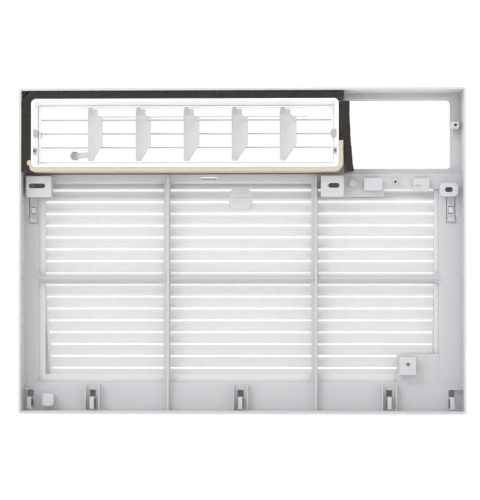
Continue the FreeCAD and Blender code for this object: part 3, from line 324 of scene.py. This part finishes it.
def seal_wrap():
    """Dark seal: up the left side, round the corner on an arc, and along the top."""
    side_t = DUCT_LO.x - WRAP_LO.x
    top_t = WRAP_HI.z - DUCT_HI.z
    x = WRAP_LO.x + side_t / 2
    z = WRAP_HI.z - top_t / 2
    r = SEAL_BEND_R
    up = straight((x, WRAP_LO.z + END_INSET), (x, z - r), 60)
    bend = polyline_arc((x + r, z - r), r, 180, 90, 20)
    along = straight((x + r, z), (WRAP_HI.x - END_INSET, z), 220)
    path = np.concatenate([up[:-1], bend, along[1:]])
    n = len(path)
    share = np.clip((np.arange(n) - len(up) + 1) / (len(bend) - 1), 0, 1)
    thickness = side_t * (1 - share) + top_t * share - 0.3 * MM + ripple(n, 0.35 * MM, 4)
    y0 = WRAP_LO.y + 0.6 * MM + ripple(n, 0.6 * MM, 7)
    piece = strip("seal_foam_wrap", path, thickness, y0, WRAP_HI.y, SEAL_FOAM)
    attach(piece, "panel")
    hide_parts("foam_seal_wrap")


def seal_side():
    """Dark loose strip beside the control window: leans out at its foot, and deeper in it fills
    the gap to the duct and to the cream strip that turns up there."""
    top = (DUCT_HI.x + LOOSE_GAP + LOOSE_TOP_T / 2, SIDE_HI.z - END_INSET)
    foot = (SIDE_HI.x - LOOSE_FOOT_T / 2 - END_INSET, SIDE_LO.z + END_INSET)
    path = straight(top, foot, 60)
    n = len(path)
    path[:, 0] -= 1.2 * MM * np.sin(np.linspace(0, math.pi, n))
    thickness = np.linspace(LOOSE_TOP_T, LOOSE_FOOT_T, n) - 0.8 * MM + ripple(n, 0.5 * MM, 11)
    beside_strip = np.clip((BASE_HI.z + 2 * MM - path[:, 1]) / (2 * MM), 0, 1)
    near = DUCT_HI.x + 0.5 * MM + beside_strip * (BASE_HI.x - DUCT_HI.x)
    lean = np.clip(path[:, 0] - thickness / 2 - near, 0, None)
    y0 = SIDE_LO.y + 0.6 * MM + ripple(n, 0.6 * MM, 13)
    piece = strip("seal_foam_side", path, thickness, y0, SIDE_HI.y, SEAL_FOAM, lean=lean)
    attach(piece, "panel")
    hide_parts("foam_seal_side")


def base_strip():
    """Cream strip under the duct, turned up round both its corners, higher at the right."""
    t = DUCT_LO.z - BASE_LO.z
    z = BASE_LO.z + t / 2
    r = DUCT_CORNER + t / 2
    x0 = DUCT_LO.x - t / 2
    x1 = DUCT_HI.x + t / 2
    down = straight((x0, z + r + 3 * MM), (x0, z + r), 6)
    turn = polyline_arc((x0 + r, z + r), r, 180, 270, 16)
    along = straight((x0 + r, z), (x1 - r, z), 160)
    bend = polyline_arc((x1 - r, z + r), r, -90, 0, 16)
    up = straight((x1, z + r), (x1, BASE_HI.z - END_INSET), 24)
    path = np.concatenate([down[:-1], turn[:-1], along[:-1], bend, up[1:]])
    n = len(path)
    thickness = t - 0.2 * MM + ripple(n, 0.2 * MM, 17)
    y0 = BASE_LO.y + 0.4 * MM + ripple(n, 0.4 * MM, 19)
    piece = strip("base_foam_strip", path, thickness, y0, BASE_HI.y, BASE_FOAM)
    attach(piece, "panel")
    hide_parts("foam_strip_base")


NET_PITCH = 1.5 * MM
THREAD = 0.3 * MM               # width of a thread


def filter_net():
    """Woven net: straight square threads both ways, one layer just behind the other.
    Each thread is a box; its eight corners are the thread's two ends plus half its width."""
    half = THREAD / 2
    y = (NET_LO.y + NET_HI.y) / 2
    xs = np.arange(NET_LO.x + NET_PITCH / 2, NET_HI.x, NET_PITCH)
    zs = np.arange(NET_LO.z + NET_PITCH / 2, NET_HI.z, NET_PITCH)
    warp_lo = np.stack([xs - half, np.full(len(xs), y), np.full(len(xs), NET_LO.z)], axis=1)
    warp_hi = np.stack([xs + half, np.full(len(xs), y + 2 * half), np.full(len(xs), NET_HI.z)], axis=1)
    weft_lo = np.stack([np.full(len(zs), NET_LO.x), np.full(len(zs), y - 2 * half), zs - half], axis=1)
    weft_hi = np.stack([np.full(len(zs), NET_HI.x), np.full(len(zs), y), zs + half], axis=1)
    lo = np.concatenate([warp_lo, weft_lo])
    hi = np.concatenate([warp_hi, weft_hi])
    pick = np.array([[i, j, k] for i in (0, 1) for j in (0, 1) for k in (0, 1)])
    corners = lo[:, None, :] * (1 - pick) + hi[:, None, :] * pick
    faces = np.array([[0, 1, 3, 2], [4, 6, 7, 5], [0, 4, 5, 1], [2, 3, 7, 6], [0, 2, 6, 4], [1, 5, 7, 3]])
    quads = (np.arange(len(lo))[:, None, None] * 8 + faces[None]).reshape(-1, 4)
    piece = mesh_piece("filter_net", corners.reshape(-1, 3), quads, NET_NYLON, smooth=False)
    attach(piece, "filter")
    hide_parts("filter_mesh")


# ---- studio ----------------------------------------------------------------------------------
SWEEP_R = 2.5                   # quarter circle at the back of the paper
SWEEP_FRONT = -6.0
SWEEP_BEND = 4.0                # where the paper leaves the floor
SWEEP_TOP = 6.0
SWEEP_SIDE = 7.0


def floor():
    """Flat floor that curves up far behind the object: z = 0 up to the bend, then a quarter circle."""
    bend = polyline_arc((SWEEP_BEND, SWEEP_R), SWEEP_R, -90, 0, 16)
    profile = np.concatenate([[[SWEEP_FRONT, 0.0]], bend, [[SWEEP_BEND + SWEEP_R, SWEEP_TOP]]])
    xs = np.array([-SWEEP_SIDE, SWEEP_SIDE])
    points = np.array([[x, y, z] for y, z in profile for x in xs])
    rows = np.arange(len(profile) - 1)[:, None] * 2
    quads = rows + np.array([[0, 1, 3, 2]])
    sweep = mesh_piece("studio_sweep", points, quads, studio_floor())


def world_light():
    """Even white surroundings."""
    world = bpy.data.worlds.new("studio")
    bpy.context.scene.world = world
    world.use_nodes = True
    tree = world.node_tree
    tree.nodes.clear()
    sky = add(tree, "ShaderNodeBackground", {"Color": (1, 1, 1, 1), "Strength": 1.04})
    add(tree, "ShaderNodeOutputWorld", links={"Surface": sky.outputs["Background"]})


def lamp(name, place, target, size, watts):
    """Square soft lamp at a place, turned towards the target."""
    data = bpy.data.lights.new(name, "AREA")
    data.shape = "SQUARE"
    data.size = size
    data.energy = watts
    lamp_object = bpy.data.objects.new(name, data)
    lamp_object.location = place
    lamp_object.rotation_euler = (Vector(target) - Vector(place)).to_track_quat("-Z", "Y").to_euler()
    bpy.context.scene.collection.objects.link(lamp_object)


def camera():
    """Camera behind the panel, a little right of the middle and low, 2.28 m from the rear rim."""
    rim_y = PANEL_LO.y
    place = Vector((0.071, rim_y - 2.28, 0.130))
    target = Vector((-0.0018, rim_y, 0.1825))
    data = bpy.data.cameras.new("view")
    data.lens = 147.2
    data.sensor_width = 36.0
    seen_from = bpy.data.objects.new("view", data)
    seen_from.location = place
    seen_from.rotation_euler = (target - place).to_track_quat("-Z", "Y").to_euler()
    bpy.context.scene.collection.objects.link(seen_from)
    bpy.context.scene.camera = seen_from


paint_nodes()
paint_blades()
seal_wrap()
seal_side()
base_strip()
filter_net()
floor()
world_light()
PANEL_MIDDLE = (0, 0, 0.18)
lamp("key", (-1.6, -2.2, 2.0), PANEL_MIDDLE, 1.2, 22)
lamp("back", (0.8, 2.2, 1.6), PANEL_MIDDLE, 1.6, 14)
camera()
bpy.context.scene.view_settings.view_transform = "Standard"
